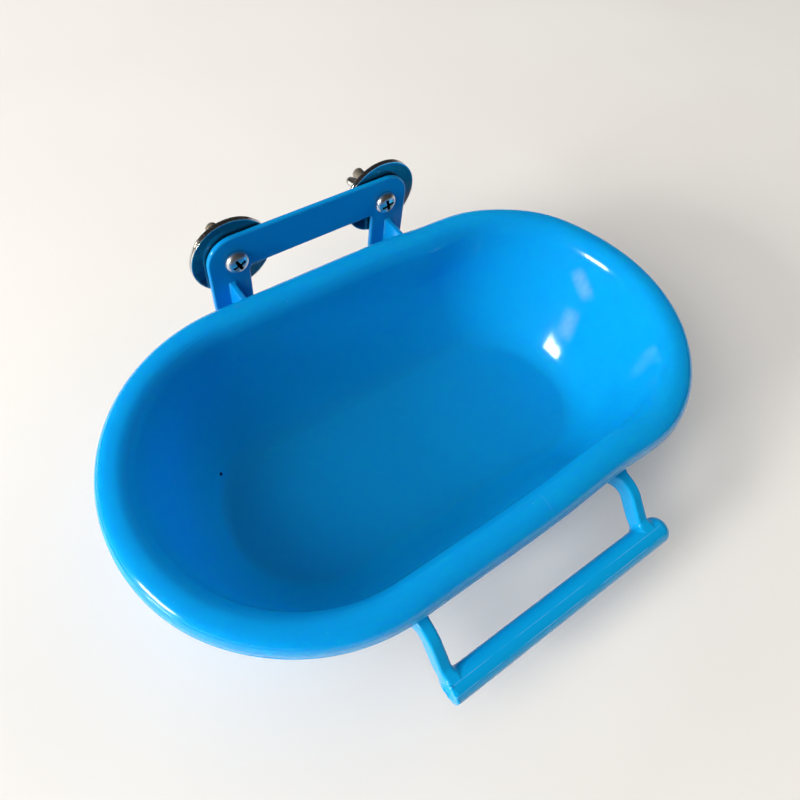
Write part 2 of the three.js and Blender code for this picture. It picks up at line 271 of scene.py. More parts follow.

# Marks on the plastic: a speck of grit, and a painted reflection of the window down the right end wall
SPECK = (-59.4, 23.5, 6)
SPECK_RADIUS = 0.35
SPECK_SOFT = 0.4
DARK_GRIT = (0.002, 0.004, 0.01, 1)
# Painted reflection of the window on the right end wall: two patches, each a start, an end and a half width
# in mm, with its fade, its milky colour and its strength
REFLECTION_PATCHES = (
    ((81.1, 13.6, 35.6), (80.6, 4.5, 30.1), 2.6),
    ((77.3, 6.0, 23.3), (73.0, 2.5, 13.7), 3.0),
)
REFLECTION_FADE = (0.2, 1.5)
REFLECTION_END = (-2, 3)
REFLECTION_MILK = (0.36, 0.50, 0.86, 1)
REFLECTION_PALENESS = 0.32
REFLECTION_STREAKS = {"scale": 1, "detail": 3, "low": 0.2, "high": 0.7}
REFLECTION_STREAK_STRETCH = (500, 500, 60)
UNBROKEN = {"scale": 1, "detail": 2, "low": 0.35, "high": 0.6}
UNBROKEN_STRETCH = (140, 900, 900)

# Metal
BRIGHT_NICKEL = (0.84, 0.82, 0.78, 1)
WORN_NICKEL = (0.62, 0.60, 0.56, 1)
EDGE_NICKEL = (0.78, 0.77, 0.74, 1)
# Painted shade: the dark colour of a washer's flat face, for the shaded plastic it mirrors
SHADED_FACE_NICKEL = (0.20, 0.20, 0.21, 1)
SCREW_SOFTNESS = 0.3
WASHER_SOFTNESS = 0.14
DULL = {"scale": 160, "detail": 4, "low": 0.4, "high": 0.75}
DULL_ROUGH = 0.1
WORN_SHARE = 0.7
FINE = {"scale": 1, "detail": 1, "low": 0.62, "high": 0.72}
FINE_STRETCH = (160, 900, 2600)
FINE_TURN = 0.5
FINE_ROUGH = 0.12
FINE_RELIEF = 0.6
# Painted shade in a screw head's cross: the depths over which it darkens, the border where it fades, and
# its colour
RECESS_SHADE = (0.28, 0.46)
RECESS_BORDER = (0.9, 1.05)
RECESS_ROUGH = 0.4
PAINTED_RECESS_SHADE = (0.008, 0.008, 0.009, 1)
THREAD_METAL = (0.66, 0.62, 0.55, 1)
# Painted shade in the thread's valleys: dark rings once a pitch along the screw's tail
THREAD_VALLEY = (0.1, 0.9)
THREAD_VALLEY_SHADE = 0.75
THREAD_ROUGH = 0.3
DARK_THREAD_SHADE = (0.08, 0.07, 0.06, 1)
BRIGHT_RIM = (0.5, 0.2)
STEEL_GRAIN_SCALE = 1500
STEEL_GRAIN_DEPTH = 0.008
STEEL_GRAIN_STRENGTH = 0.4
LIGHT_ZINC = (0.66, 0.65, 0.62, 1)
DARK_ZINC = (0.5, 0.49, 0.46, 1)
YELLOW_ZINC = (0.58, 0.5, 0.36, 1)
BLOTCH = {"scale": 220, "detail": 4, "low": 0.35, "high": 0.7}
BLOTCH_ROUGH = 0.14
ZINC_ROUGH = 0.42
STAIN = {"scale": 90, "detail": 3, "low": 0.55, "high": 0.8}
STAIN_SHARE = 0.35
CAST_SCALE = 1400
CAST_DEPTH = 0.02
CAST_STRENGTH = 0.6

# Ground, light and camera
GROUND_HALF_M = 1.25
GROUND_DIM = (0.78, 0.765, 0.75, 1)
GROUND_PALE = (0.82, 0.81, 0.80, 1)
UNEVEN = {"scale": 4, "detail": 3, "low": 0.3, "high": 0.7}
GROUND_ROUGH = 0.85
GROUND_SHINE = 0.2
WORLD_COLOUR = (0.95, 0.97, 1, 1)
WORLD_STRENGTH = 0.04
ROOM_WALL = (0.74, 0.72, 0.69, 1)
WARM = (1, 0.96, 0.89)
PALE = (1, 0.98, 0.95)
WINDOW_AWAY_M = 1.3
WALL_AWAY_M = 2
WALL_PANEL_M = (2.2, 0.9)
PANELS = {
    "window": {"turn": 178, "lift": 20, "away": WINDOW_AWAY_M, "size": (0.36, 0.25), "watts": 15.5},
    "low_room": {"turn": 177, "lift": 8, "away": WINDOW_AWAY_M, "size": (0.4, 0.18), "watts": 2.4},
    "curtains": {"turn": 185, "lift": 38, "away": 1.9, "size": (1.7, 1), "watts": 21},
    "ceiling": {"turn": 170, "lift": 60, "away": WALL_AWAY_M, "size": (2, 2), "watts": 13.2},
    "back_wall": {"turn": 90, "lift": 22, "away": WALL_AWAY_M, "size": WALL_PANEL_M, "watts": 12.5},
    "far_wall": {"turn": 0, "lift": 26, "away": WALL_AWAY_M, "size": WALL_PANEL_M, "watts": 17.5},
    "front_room": {"turn": 265, "lift": 20, "away": WALL_AWAY_M, "size": WALL_PANEL_M, "watts": 0.8},
}
MIRRORED = ("window",)
SUNLIT = ("window", "curtains")
CAMERA_PLACE = np.array([-82.754, -77.738, 205.026])
CAMERA_FORWARD = np.array([0.37862, 0.39454, -0.83725])
CAMERA_RIGHT = np.array([0.81279, -0.57445, 0.09686])
LENS_MM = 29.695
SENSOR_MM = 36
NEAREST_M = 0.01

# Derived places
HALF_WIDTH = TUB_WIDTH / 2
HALF_STRAIGHT = (TUB_LENGTH - TUB_WIDTH) / 2
LIP_REACH = HALF_WIDTH - LIP_RADIUS
LIP_Z = TUB_HEIGHT - LIP_RADIUS
SKIRT_Z = LIP_Z - LIP_SKIRT
SIDE_FOOT = FLOOR_WIDTH / 2
END_FOOT = FLOOR_LENGTH / 2 - HALF_STRAIGHT
SCREW_X = SCREW_SPACING / 2
SCREW_Z = TUB_HEIGHT + SCREW_RISE
SCREW_RADIUS = SCREW_DIAMETER / 2
HOLE_RADIUS = SCREW_RADIUS + HOLE_CLEARANCE
PLATE_FRONT = HALF_WIDTH + HANGER_STANDOFF
PLATE_BACK = PLATE_FRONT + PLATE
FRONT_WASHER_Y = PLATE_BACK + SEAT_GAP
REAR_WASHER_Y = FRONT_WASHER_Y + WASHER + SEAT_GAP
NUT_Y = REAR_WASHER_Y + WASHER + SEAT_GAP
LEG_OUTER = SCREW_X + CORNER_RADIUS
LEG_INNER = SCREW_X - LEG_INSIDE_SCREW
PERCH_Y = -(HALF_WIDTH + PERCH_REACH)
PERCH_Z = TUB_HEIGHT - PERCH_BELOW_LIP
SWAY_START = FLOOR * 3
WARP_START = LIP_Z - 3 * LIP_RADIUS
PINCH_END = HALF_STRAIGHT * 1.5
SHIFT_START = HALF_STRAIGHT / 2
SHIFT_TOP = LIP_Z * 0.75
LONG_SIDE = (HALF_WIDTH / 3, HALF_WIDTH * 0.8)


def arc(centre, radius, start, end, count):
    """Points on a circle from one angle to another: centre plus radius times cosine and sine."""
    turn = np.linspace(start, end, count)
    return np.stack([centre[0] + radius * np.cos(turn), centre[1] + radius * np.sin(turn)], -1)


def straight(start, end, count):
    """Evenly spaced points from start to end."""
    share = np.linspace(0, 1, count)[:, None]
    return np.asarray(start) * (1 - share) + np.asarray(end) * share


def bend(start, corner, end, count):
    """A rounded corner: the quadratic curve from start to end that is pulled towards the corner."""
    t = np.linspace(0, 1, count)[:, None]
    return np.asarray(start) * (1 - t) ** 2 + np.asarray(corner) * 2 * t * (1 - t) + np.asarray(end) * t * t


def outward(outline):
    """Unit normals of a closed outline, square to the line between each point's neighbours."""
    run = np.roll(outline, -1, axis=0) - np.roll(outline, 1, axis=0)
    run /= np.linalg.norm(run, axis=1, keepdims=True)
    area = np.sum(outline[:, 0] * np.roll(outline[:, 1], -1) - outline[:, 1] * np.roll(outline[:, 0], -1))
    return np.stack([run[:, 1], -run[:, 0]], -1) * math.copysign(1, area)


def smooth_step(low, high, value):
    """Cubic ease from 0 at low to 1 at high."""
    t = np.clip((value - low) / (high - low), 0, 1)
    return t * t * (3 - 2 * t)


def hump(value, centre, width):
    """Bell curve of height 1."""
    return np.exp(-(((value - centre) / width) ** 2))


def quads(grid, close_rows=False, close_columns=False):
    """Points and four-cornered faces of a grid of points; either direction can be joined end to start."""
    rows, columns = grid.shape[:2]
    row, column = np.meshgrid(
        np.arange(rows if close_rows else rows - 1),
        np.arange(columns if close_columns else columns - 1),
        indexing="ij",
    )
    below = (row + 1) % rows * columns
    beside = (column + 1) % columns
    row = row * columns
    corners = np.stack([row + column, row + beside, below + beside, below + column], -1)
    return grid.reshape(-1, 3), corners.reshape(-1, 4)


def make_piece(name, skins, body, node, finish):
    """Joins grids into one closed mesh, merges their shared edges, and sets the piece on its body."""
    points = np.concatenate([skin[0] for skin in skins]) * MM
    starts = np.cumsum([0] + [len(skin[0]) for skin in skins[:-1]])
    faces = np.concatenate([skin[1] + start for skin, start in zip(skins, starts)])
    mesh = bpy.data.meshes.new(name)
    mesh.from_pydata(points.tolist(), [], faces.tolist())
    work = bmesh.new()
    work.from_mesh(mesh)
    bmesh.ops.remove_doubles(work, verts=work.verts, dist=MERGE)
    bmesh.ops.dissolve_degenerate(work, edges=work.edges, dist=MERGE)
    bmesh.ops.recalc_face_normals(work, faces=work.faces)
    work.to_mesh(mesh)
    work.free()
    mesh.shade_smooth()
    mesh.set_sharp_from_angle(angle=SHARP_TURN)
    mesh.materials.append(finish)
    piece = bpy.data.objects.new(name, mesh)
    bpy.context.scene.collection.objects.link(piece)
    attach(piece, body)
    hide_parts(node)


def lathe(profile, centre, steps, axis):
    """Turns a profile round an axis: its radius times cosine and sine across, its height along."""
    turn = np.linspace(0, 2 * math.pi, steps, endpoint=False)
    radius = profile[:, 0, None]
    grid = np.empty((len(profile), steps, 3))
    first, second = [k for k in range(3) if k != axis]
    grid[..., first] = centre[first] + radius * np.cos(turn)
    grid[..., second] = centre[second] + radius * np.sin(turn)
    grid[..., axis] = centre[axis] + profile[:, 1, None]
    return quads(grid, close_columns=True)


def sweep(path, across, up, half_width, half_height, corner, end_round, flat_steps=0):
    """Carries a rounded rectangle along a path. Each row stands at a path point and spans its across and
    up directions, with a quarter circle at each corner and evenly spaced points on each flat. The first and
    last rows shrink in a quarter circle and close on the path, so that the ends are rounded too. Gives the
    grid of points, and the directions in which its section faces."""
    along = np.gradient(path, axis=0)
    along /= np.linalg.norm(along, axis=1, keepdims=True)
    roll = np.linspace(math.pi / 2, 0, CORNER_STEPS)
    last = len(path) - 1
    order = np.concatenate([np.zeros(CORNER_STEPS, int), np.arange(1, last), np.full(CORNER_STEPS, last)])
    inset = np.zeros(len(order))
    inset[:CORNER_STEPS] = end_round * (1 - np.cos(roll))
    inset[-CORNER_STEPS:] = inset[CORNER_STEPS - 1::-1]
    shift = np.zeros(len(order))
    shift[:CORNER_STEPS] = -end_round * np.sin(roll)
    shift[-CORNER_STEPS:] = -shift[CORNER_STEPS - 1::-1]
    spine = path[order] + along[order] * shift[:, None]
    round_by = np.maximum(corner - inset, SMALLEST_ROUND)[:, None]
    wide = (half_width[order] - inset)[:, None] - round_by
    high = (half_height[order] - inset)[:, None] - round_by
    turn = np.concatenate([np.linspace(q, q + 1, CORNER_STEPS) for q in range(4)]) * math.pi / 2
    u = np.repeat([1, -1, -1, 1], CORNER_STEPS) * wide + round_by * np.cos(turn)
    v = np.repeat([1, 1, -1, -1], CORNER_STEPS) * high + round_by * np.sin(turn)
    on_flat = CORNER_STEPS - 1 + np.arange(1, flat_steps + 1) / (flat_steps + 1)
    one_side = np.concatenate([np.arange(CORNER_STEPS), on_flat])
    place = np.concatenate([one_side + CORNER_STEPS * q for q in range(4)])
    before = place.astype(int)
    after = (before + 1) % len(turn)
    share = place - before
    u = u[:, before] * (1 - share) + u[:, after] * share
    v = v[:, before] * (1 - share) + v[:, after] * share
    grid = spine[:, None] + across[order][:, None] * u[..., None] + up[order][:, None] * v[..., None]
    sideways = np.cos(turn[before])[:, None]
    upwards = np.sin(turn[before])[:, None]
    facing = across[order][:, None] * sideways + up[order][:, None] * upwards
    poles = np.broadcast_to(spine[[0, -1]][:, None], (2, grid.shape[1], 3))
    nowhere = np.zeros_like(facing[:1])
    grid = np.concatenate([poles[:1], grid, poles[1:]])
    return grid, np.concatenate([nowhere, facing, nowhere])


def run_into(grid, facing, gap, other_facing, radius):
    """Bends a skin where it nears another piece, so that the two meet in a hollow of a given radius. A
    point at a gap below the radius moves onto a circle that touches both: out by radius less radius times
    the cosine, and away by radius less radius times the sine less the gap, for a turn that grows from 0 to
    an eighth of a circle. Where both face the same way, or well inside the other piece, nothing moves."""
    turn = np.clip(1 - gap / radius, 0, 1) * math.pi / 4
    out = radius * (1 - np.cos(turn))
    away = radius * (1 - np.sin(turn)) - np.clip(gap, 0, radius)
    apart = 1 - np.clip(np.sum(facing * other_facing, -1), 0, 1)
    apart = apart * smooth_step(*HOLLOW_FADE, gap)
    return grid + facing * (out * apart)[..., None] + other_facing * (away * apart)[..., None]


def rounded_plate(outline, normal, hub, thickness, edge, hole=None, cut=None):
    """A flat plate with rounded edges. Its two faces are fans of rays from a hub, or from the rim of a hole
    round the hub, to the outline drawn in by the edge radius. Its rim runs round the outline: a quarter
    circle, a straight and a quarter circle. A cut is a run of extra outline points that stays open, where
    two plates meet. Columns are the outline's two directions and the depth behind the front face."""
    ease = np.linspace(0, math.pi / 2, EDGE_STEPS)
    drawn_in = np.concatenate([[edge * FACE_INSET], edge * (1 - np.sin(ease))])
    depth = np.concatenate([[0], edge * (1 - np.cos(ease))])
    drawn_in = np.concatenate([drawn_in, drawn_in[::-1]])
    depth = np.concatenate([depth, thickness - depth[::-1]])
    rim = np.empty((len(depth), len(outline), 3))
    rim[..., :2] = outline - normal * drawn_in[:, None, None]
    rim[..., 2] = depth[:, None]
    is_open = cut is not None
    skins = [quads(rim, close_columns=not is_open)]
    for row, level in ((0, 0.0), (-1, thickness)):
        border = rim[row, :, :2]
        if is_open:
            border = np.concatenate([border, cut(border[-1], border[0])])
        ray = border - hub
        length = np.linalg.norm(ray, axis=1, keepdims=True)
        start = ray / length * (hole or 0)
        share = np.linspace(0, 1, FACE_RINGS)[:, None, None]
        fan = np.empty((FACE_RINGS, len(border), 3))
        fan[..., :2] = hub + start + (ray - start) * share
        fan[..., 2] = level
        skins.append(quads(fan, close_columns=True))
        if hole and level == 0:
            wall = np.repeat(fan[:1], 2, axis=0)
            wall[1, :, 2] = thickness
            skins.append(quads(wall, close_columns=True))
    return skins


def wall_lean(foot):
    """Lean of a tub wall from the vertical, so that its inside runs as a tangent into the lip's roll."""
    across = LIP_REACH - foot
    up = LIP_Z - FLOOR
    return math.atan2(across, up) - math.asin(LIP_RADIUS / math.hypot(across, up))


def outer_wall(z):
    """How far the outside of the long wall stands from the middle of the tub at a height."""
    lean = wall_lean(SIDE_FOOT)
    return LIP_REACH + (z - LIP_Z) * math.tan(lean) - (LIP_RADIUS - WALL) / math.cos(lean)


def tub_section(foot, groove, softness, more_lean, wall_hold, floor_hold, shoulder):
    """The tub's wall in section, reach against height, from the axis along the underside, up the outside,
    round the skirt and the lip, and down the inside to the axis. The lip is a circle that is a little flat
    on top, with two fine grooves outside, and it eases into the wall on a larger circle. The inside is a
    cubic curve that leaves the lip along the wall and tightens into the floor, which it meets further in
    the softer it is. A low ridge runs round the skirt where the two halves of the mould met."""
    lean = wall_lean(foot)
    outer = FLOOR_FILLET + WALL
    outer_foot = foot + (WALL - FLOOR * math.sin(lean)) / math.cos(lean)
    outer_reach = outer_foot - outer * (1 - math.sin(lean)) / math.cos(lean)
    inner_reach = foot - FLOOR_FILLET * (1 - math.sin(lean)) / math.cos(lean) - softness
    side_z = np.linspace(SKIRT_Z + WALL / 2, LIP_Z, SKIRT_STEPS)[1:-1]
    ridge = PARTING_RISE * hump(side_z, LIP_Z - PARTING_DROP, PARTING_WIDTH)
    roll = np.linspace(0, SHOULDER_TURN, LIP_STEPS)
    dent = LIP_FLAT * hump(roll, LIP_FLAT_TURN, LIP_FLAT_WIDTH)
    dent += groove * sum(hump(roll, turn, LIP_GROOVE_WIDTH) for turn in LIP_GROOVE_TURNS)
    lip_centre = np.array([LIP_REACH, LIP_Z])
    lip = lip_centre + (LIP_RADIUS - dent)[:, None] * np.stack([np.cos(roll), np.sin(roll)], -1)
    outset = LIP_RADIUS - shoulder
    ease_centre = lip_centre + outset * np.array([math.cos(SHOULDER_TURN), math.sin(SHOULDER_TURN)])
    inner_lean = lean + more_lean
    ease = arc(ease_centre, shoulder, SHOULDER_TURN, math.pi - inner_lean, SHOULDER_STEPS)
    lip_end = ease[-1]
    down_wall = lip_end - wall_hold * np.array([math.sin(inner_lean), math.cos(inner_lean)])
    floor_end = np.array([inner_reach, FLOOR])
    t = np.linspace(0, 1, INSIDE_STEPS)[:, None]
    inside = (
        lip_end * (1 - t) ** 3
        + down_wall * 3 * t * (1 - t) ** 2
        + (floor_end + (floor_hold, 0)) * 3 * t * t * (1 - t)
        + floor_end * t ** 3
    )
    return np.concatenate([
        straight((0, 0), (outer_reach, 0), UNDERSIDE_STEPS)[:-1],
        arc((outer_reach, outer), outer, -math.pi / 2, -lean, FOOT_STEPS),
        arc(lip_centre, LIP_RADIUS - WALL, math.pi - lean, 0, UNDER_LIP_STEPS),
        arc((HALF_WIDTH - WALL / 2, SKIRT_Z + WALL / 2), WALL / 2, math.pi, 2 * math.pi, SKIRT_EDGE_STEPS),
        np.stack([HALF_WIDTH + ridge, side_z], -1),
        lip,
        ease[1:],
        inside[1:],
        straight(floor_end, (0, FLOOR), FLOOR_STEPS)[1:],
    ])


def tub_skin():
    """The wall section swept round the oval plan. Round each end the reach along the tub follows the end
    section times the cosine of the turn and the reach across follows the side section times its sine, and
    the heights blend by the cosine squared. The lip sways a little, as a moulding does once it has cooled:
    up and down round the oval, inwards along the front and at the two right shoulders, outwards between,
    and the floor's right end lies a little towards the front."""
    side = tub_section(SIDE_FOOT, 0, **SIDE_INSIDE)
    right_end = tub_section(END_FOOT, 0, **RIGHT_INSIDE)
    left_end = tub_section(END_FOOT, LIP_GROOVE, **LEFT_INSIDE)
    half_turn = np.linspace(-math.pi / 2, math.pi / 2, END_STEPS)
    run = np.linspace(1, -1, SIDE_STEPS)[1:-1]
    to_back = np.full(len(run), math.pi / 2)
    turn = np.concatenate([half_turn, to_back, half_turn + math.pi, to_back + math.pi])
    at_end = np.ones(END_STEPS)
    centre = HALF_STRAIGHT * np.concatenate([at_end, run, -at_end, -run])
    share = np.cos(turn) ** 2
    end = np.where(np.cos(turn)[:, None] > 0, right_end[:, None], left_end[:, None])
    grid = np.empty((len(side), len(turn), 3))
    grid[..., 0] = centre + end[..., 0] * np.cos(turn)
    grid[..., 1] = side[:, 0, None] * np.sin(turn)
    grid[..., 2] = side[:, 1, None] * (1 - share) + end[..., 1] * share
    x, y, z = np.moveaxis(grid.copy(), -1, 0)
    height = smooth_step(SWAY_START, TUB_HEIGHT, z)
    heading = np.arctan2(y, x)
    grid[..., 2] -= LIP_SWAY * height * (0.5 + 0.5 * np.sin(2 * heading + SWAY_PHASE))
    lip = smooth_step(WARP_START, LIP_Z, z)
    front = FRONT_PINCH * smooth_step(PINCH_END, HALF_STRAIGHT, x)
    front += FRONT_RIGHT_PINCH["depth"] * hump(x, FRONT_RIGHT_PINCH["x"], FRONT_RIGHT_PINCH["width"])
    back = BACK_RIGHT_PINCH["depth"] * hump(x, BACK_RIGHT_PINCH["x"], BACK_RIGHT_PINCH["width"])
    low_right = smooth_step(SHIFT_START, FLOOR_LENGTH / 2, x) * (1 - smooth_step(FLOOR, SHIFT_TOP, z))
    grid[..., 1] -= RIGHT_FLOOR_SHIFT * low_right
    across = smooth_step(*LONG_SIDE, np.abs(y))
    grid[..., 1] += lip * across * np.where(y < 0, front, -back)
    away = np.hypot(x - FAR_CORNER["x"], y - FAR_CORNER["y"])
    bulge = FAR_CORNER["rise"] * lip * hump(away, 0, FAR_CORNER["width"])
    grid[..., 0] += bulge * np.cos(turn)
    grid[..., 1] += bulge * np.sin(turn)
    return quads(grid, close_columns=True)


def hanger_skins():
    """The hanger: each half plate is a rounded plate fanned from its screw hole and open at the middle,
    with a web and a ledge swept forwards from each leg into the tub's lip."""
    bar_bottom = SCREW_Z - BAR_BELOW_SCREW
    ledge_top = TUB_HEIGHT - LEDGE_BELOW_LIP
    foot = ledge_top - LEDGE
    fillet = (LEG_INNER - WINDOW_FILLET, bar_bottom - WINDOW_FILLET)
    flat_bottom = straight((0, bar_bottom), (fillet[0], bar_bottom), BAR_STEPS)
    window = arc(fillet, WINDOW_FILLET, math.pi / 2, 0, WINDOW_STEPS)
    inner_centre = (LEG_INNER + FOOT_CORNER, foot + FOOT_CORNER)
    outer_centre = (LEG_OUTER - FOOT_CORNER, foot + FOOT_CORNER)
    inner_heel = arc(inner_centre, FOOT_CORNER, math.pi, 1.5 * math.pi, HEEL_STEPS)
    outer_heel = arc(outer_centre, FOOT_CORNER, 1.5 * math.pi, 2 * math.pi, HEEL_STEPS)
    shoulder = arc((SCREW_X, SCREW_Z), CORNER_RADIUS, 0, math.pi / 2, PLATE_CORNER_STEPS)
    top = SCREW_Z + CORNER_RADIUS
    flat_top = straight((SCREW_X, top), (0, top), BAR_STEPS)
    outline = np.concatenate([flat_bottom[:-1], window, inner_heel, outer_heel, shoulder, flat_top[1:]])
    normal = np.concatenate([
        np.tile([0.0, -1.0], (BAR_STEPS - 1, 1)),
        (np.array(fillet) - window) / WINDOW_FILLET,
        (inner_heel - inner_centre) / FOOT_CORNER,
        (outer_heel - outer_centre) / FOOT_CORNER,
        (shoulder - (SCREW_X, SCREW_Z)) / CORNER_RADIUS,
        np.tile([0.0, 1.0], (BAR_STEPS - 1, 1)),
    ])

    def middle(above, below):
        """Points down the open middle edge, between the two drawn-in ends of the outline."""
        return above + (below - above) * np.linspace(0, 1, MIDDLE_STEPS)[1:-1, None]

    hub = np.array([SCREW_X, SCREW_Z])
    half = rounded_plate(outline, normal, hub, PLATE, PLATE_EDGE, hole=HOLE_RADIUS, cut=middle)
    skins = []
    for side in (-1, 1):
        for points, faces in half:
            placed = np.stack([side * points[:, 0], PLATE_FRONT + points[:, 2], points[:, 1]], -1)
            skins.append((placed, faces))
        leg = side * (LEG_OUTER + LEG_INNER) / 2
        web_top = TUB_HEIGHT - WEB_BELOW_LIP
        leg_half = (LEG_OUTER - LEG_INNER) / 2 - PLATE_EDGE
        for start, low, high, half_width in (
            (HALF_WIDTH - WALL + ROOT_SINK, foot, web_top, WEB / 2),
            (outer_wall(foot) - ROOT_SINK, foot, ledge_top, leg_half),
        ):
            y = np.linspace(start, PLATE_BACK - PLATE_EDGE, WEB_STEPS)
            flare = WEB_FLARE * np.exp(-(PLATE_FRONT - np.minimum(y, PLATE_FRONT)) / WEB_FLARE_RUN)
            path = np.stack([np.full(WEB_STEPS, leg), y, np.full(WEB_STEPS, (low + high) / 2)], -1)
            across = np.tile([1.0, 0.0, 0.0], (WEB_STEPS, 1))
            up = np.tile([0.0, 0.0, 1.0], (WEB_STEPS, 1))
            half_height = (high - low) / 2 + flare
            grid, _ = sweep(path, across, up, half_width + flare, half_height, WEB_CORNER, WEB_END)
            skins.append(quads(grid, close_columns=True))
    return skins


def arm_path(x):
    """The middle line of a perch arm: level out of the tub, a rounded elbow, a slope, and a rounded bend
    into the top of the bar, where the arm's upper face runs out level with the bar."""
    level = TUB_HEIGHT - ARM_BELOW_LIP
    low = PERCH_Z + PERCH_DIAMETER / 2 - ARM_DEPTH / 2
    down = np.array([-math.cos(ARM_SLOPE), -math.sin(ARM_SLOPE)])
    root = np.array([ROOT_SINK - outer_wall(level - ARM_DEPTH / 2), level])
    elbow = np.array([-(HALF_WIDTH + ARM_RUN), level])
    heel = np.array([elbow[0] - (level - low) / math.tan(ARM_SLOPE), low])
    end = np.array([PERCH_Y, low])
    back = np.array([1, 0])
    runs = [
        straight(root, elbow + back * ELBOW_ROUND, ARM_ROOT_STEPS),
        bend(elbow + back * ELBOW_ROUND, elbow, elbow + down * ELBOW_ROUND, ARM_BEND_STEPS),
        straight(elbow + down * ELBOW_ROUND, heel - down * HEEL_ROUND, ARM_BEND_STEPS),
        bend(heel - down * HEEL_ROUND, heel, heel - back * HEEL_ROUND, ARM_BEND_STEPS),
        straight(heel - back * HEEL_ROUND, end, ARM_END_STEPS),
    ]
    line = np.concatenate([run[:-1] for run in runs] + [end[None]])
    return np.column_stack([np.full(len(line), x), line])


def arm_grid(x):
    """An upright rib: a rounded rectangle swept down the arm's middle line, flared at the tub."""
    path = arm_path(x)
    along = np.gradient(path, axis=0)
    along /= np.linalg.norm(along, axis=1, keepdims=True)
    across = np.tile([1.0, 0.0, 0.0], (len(path), 1))
    up = np.stack([np.zeros(len(path)), along[:, 2], -along[:, 1]], -1)
    flare = ROOT_FLARE * np.exp(-np.maximum(-path[:, 1] - LIP_REACH - WALL, 0) / ROOT_RUN)
    half_width = ARM_WIDTH / 2 + flare
    half_height = np.full(len(path), ARM_DEPTH / 2)
    return sweep(path, across, up, half_width, half_height, ARM_EDGE, ARM_EDGE, ARM_FLAT_STEPS)


def arm_gap(points, x):
    """How far points lie outside an arm, and which way the arm faces there: past its sides along X, past
    its upper and lower faces square to its middle line."""
    line = arm_path(x)[:, 1:]
    reach = points[..., None, 1:] - line
    away = np.linalg.norm(reach, axis=-1)
    nearest = away.argmin(-1)[..., None]
    away = np.take_along_axis(away, nearest, -1)
    heading = np.take_along_axis(reach, nearest[..., None], -2)[..., 0, :]
    heading = heading / np.maximum(away, SMALLEST_ROUND)
    over_face = away[..., 0] - ARM_DEPTH / 2
    over_side = np.abs(points[..., 0] - x) - ARM_WIDTH / 2
    corner = np.hypot(over_side, over_face)
    gap = np.where((over_side > 0) & (over_face > 0), corner, np.maximum(over_side, over_face))
    sideways = np.maximum(over_side, SMALLEST_ROUND) * np.sign(points[..., 0] - x)
    facing = np.concatenate([sideways[..., None], heading * np.maximum(over_face, 0)[..., None]], -1)
    return gap, facing / np.linalg.norm(facing, axis=-1, keepdims=True)


def perch_skins():
    """The perch: a bar turned about its length, with a rough gate mark on its left end and fine seams along
    its top, and an upright rib at each end that runs into it in hollows."""
    radius = PERCH_DIAMETER / 2
    edge = PERCH_LEFT_EDGE
    dome = PERCH_RIGHT_EDGE
    profile = np.concatenate([
        straight((0, -PERCH_LEFT), (radius - edge, -PERCH_LEFT), PERCH_FACE_STEPS),
        arc((radius - edge, -PERCH_LEFT + edge), edge, -math.pi / 2, 0, PERCH_EDGE_STEPS)[1:],
        straight((radius, -PERCH_LEFT + edge), (radius, PERCH_RIGHT - dome), PERCH_STEPS)[1:-1],
        arc((radius - dome, PERCH_RIGHT - dome), dome, 0, math.pi / 2, PERCH_DOME_STEPS),
        straight((radius - dome, PERCH_RIGHT), (0, PERCH_RIGHT), PERCH_TIP_STEPS)[1:],
    ])
    steps = PERCH_TURN_STEPS
    turn = np.linspace(0, 2 * math.pi, steps, endpoint=False)
    reach = np.broadcast_to(profile[:, 0, None], (len(profile), steps)).copy()
    along = np.broadcast_to(profile[:, 1, None], (len(profile), steps)).copy()
    round_side = reach > radius - SMALLEST_ROUND
    seam = sum(hump(turn, at, SEAM_WIDTH) for at in SEAM_TURNS)
    reach += SEAM_RISE * seam * round_side
    rough = sum(size * np.sin(count * turn + phase) for count, phase, size in GATE_WAVES)
    left = along < -PERCH_LEFT + edge + SMALLEST_ROUND
    outside, inside = [GATE_RADIUS + soft for soft in GATE_SOFT]
    gate = smooth_step(outside, inside, reach + GATE_WANDER * rough)
    along -= left * GATE_RISE * gate * (1 + GATE_PITS * rough * (reach > GATE_MIDDLE))
    inner, outer = [radius - band for band in GATE_RAGGED_BAND]
    reach += left * GATE_RAGGED * rough * smooth_step(inner, outer, reach)
    radial = np.stack([np.zeros(steps), np.cos(turn), np.sin(turn)], -1)
    bar = reach[..., None] * radial + np.array([0, PERCH_Y, PERCH_Z])
    bar[..., 0] = along
    skins = []
    for x, inward, outer_fillet in (
        (LEFT_ARM_INSET - PERCH_LEFT + ARM_WIDTH / 2, 1, SMALLEST_ROUND),
        (PERCH_RIGHT - RIGHT_ARM_INSET - ARM_WIDTH / 2, -1, OUTER_FILLET),
    ):
        arm, arm_facing = arm_grid(x)
        spoke = arm * np.array([0, 1.0, 1.0]) - np.array([0, PERCH_Y, PERCH_Z])
        length = np.linalg.norm(spoke, axis=-1)
        fillet = np.where(arm_facing[..., 0] * inward > INNER_SIDE, INNER_FILLET, outer_fillet)
        spoke /= np.maximum(length, SMALLEST_ROUND)[..., None]
        arm = run_into(arm, arm_facing, length - radius, spoke, fillet)
        skins.append(quads(arm, close_columns=True))
        gap, away_from_arm = arm_gap(bar, x)
        fillet = np.where(away_from_arm[..., 0] * inward > 0, INNER_FILLET, outer_fillet)
        at_back = smooth_step(0, BACK_SIDE, radial[:, 1])
        gap = np.where(round_side, gap, INNER_FILLET) + INNER_FILLET * (1 - at_back)
        bar = run_into(bar, np.broadcast_to(radial, bar.shape), gap, away_from_arm, fillet)
    return skins + [quads(bar, close_columns=True)]


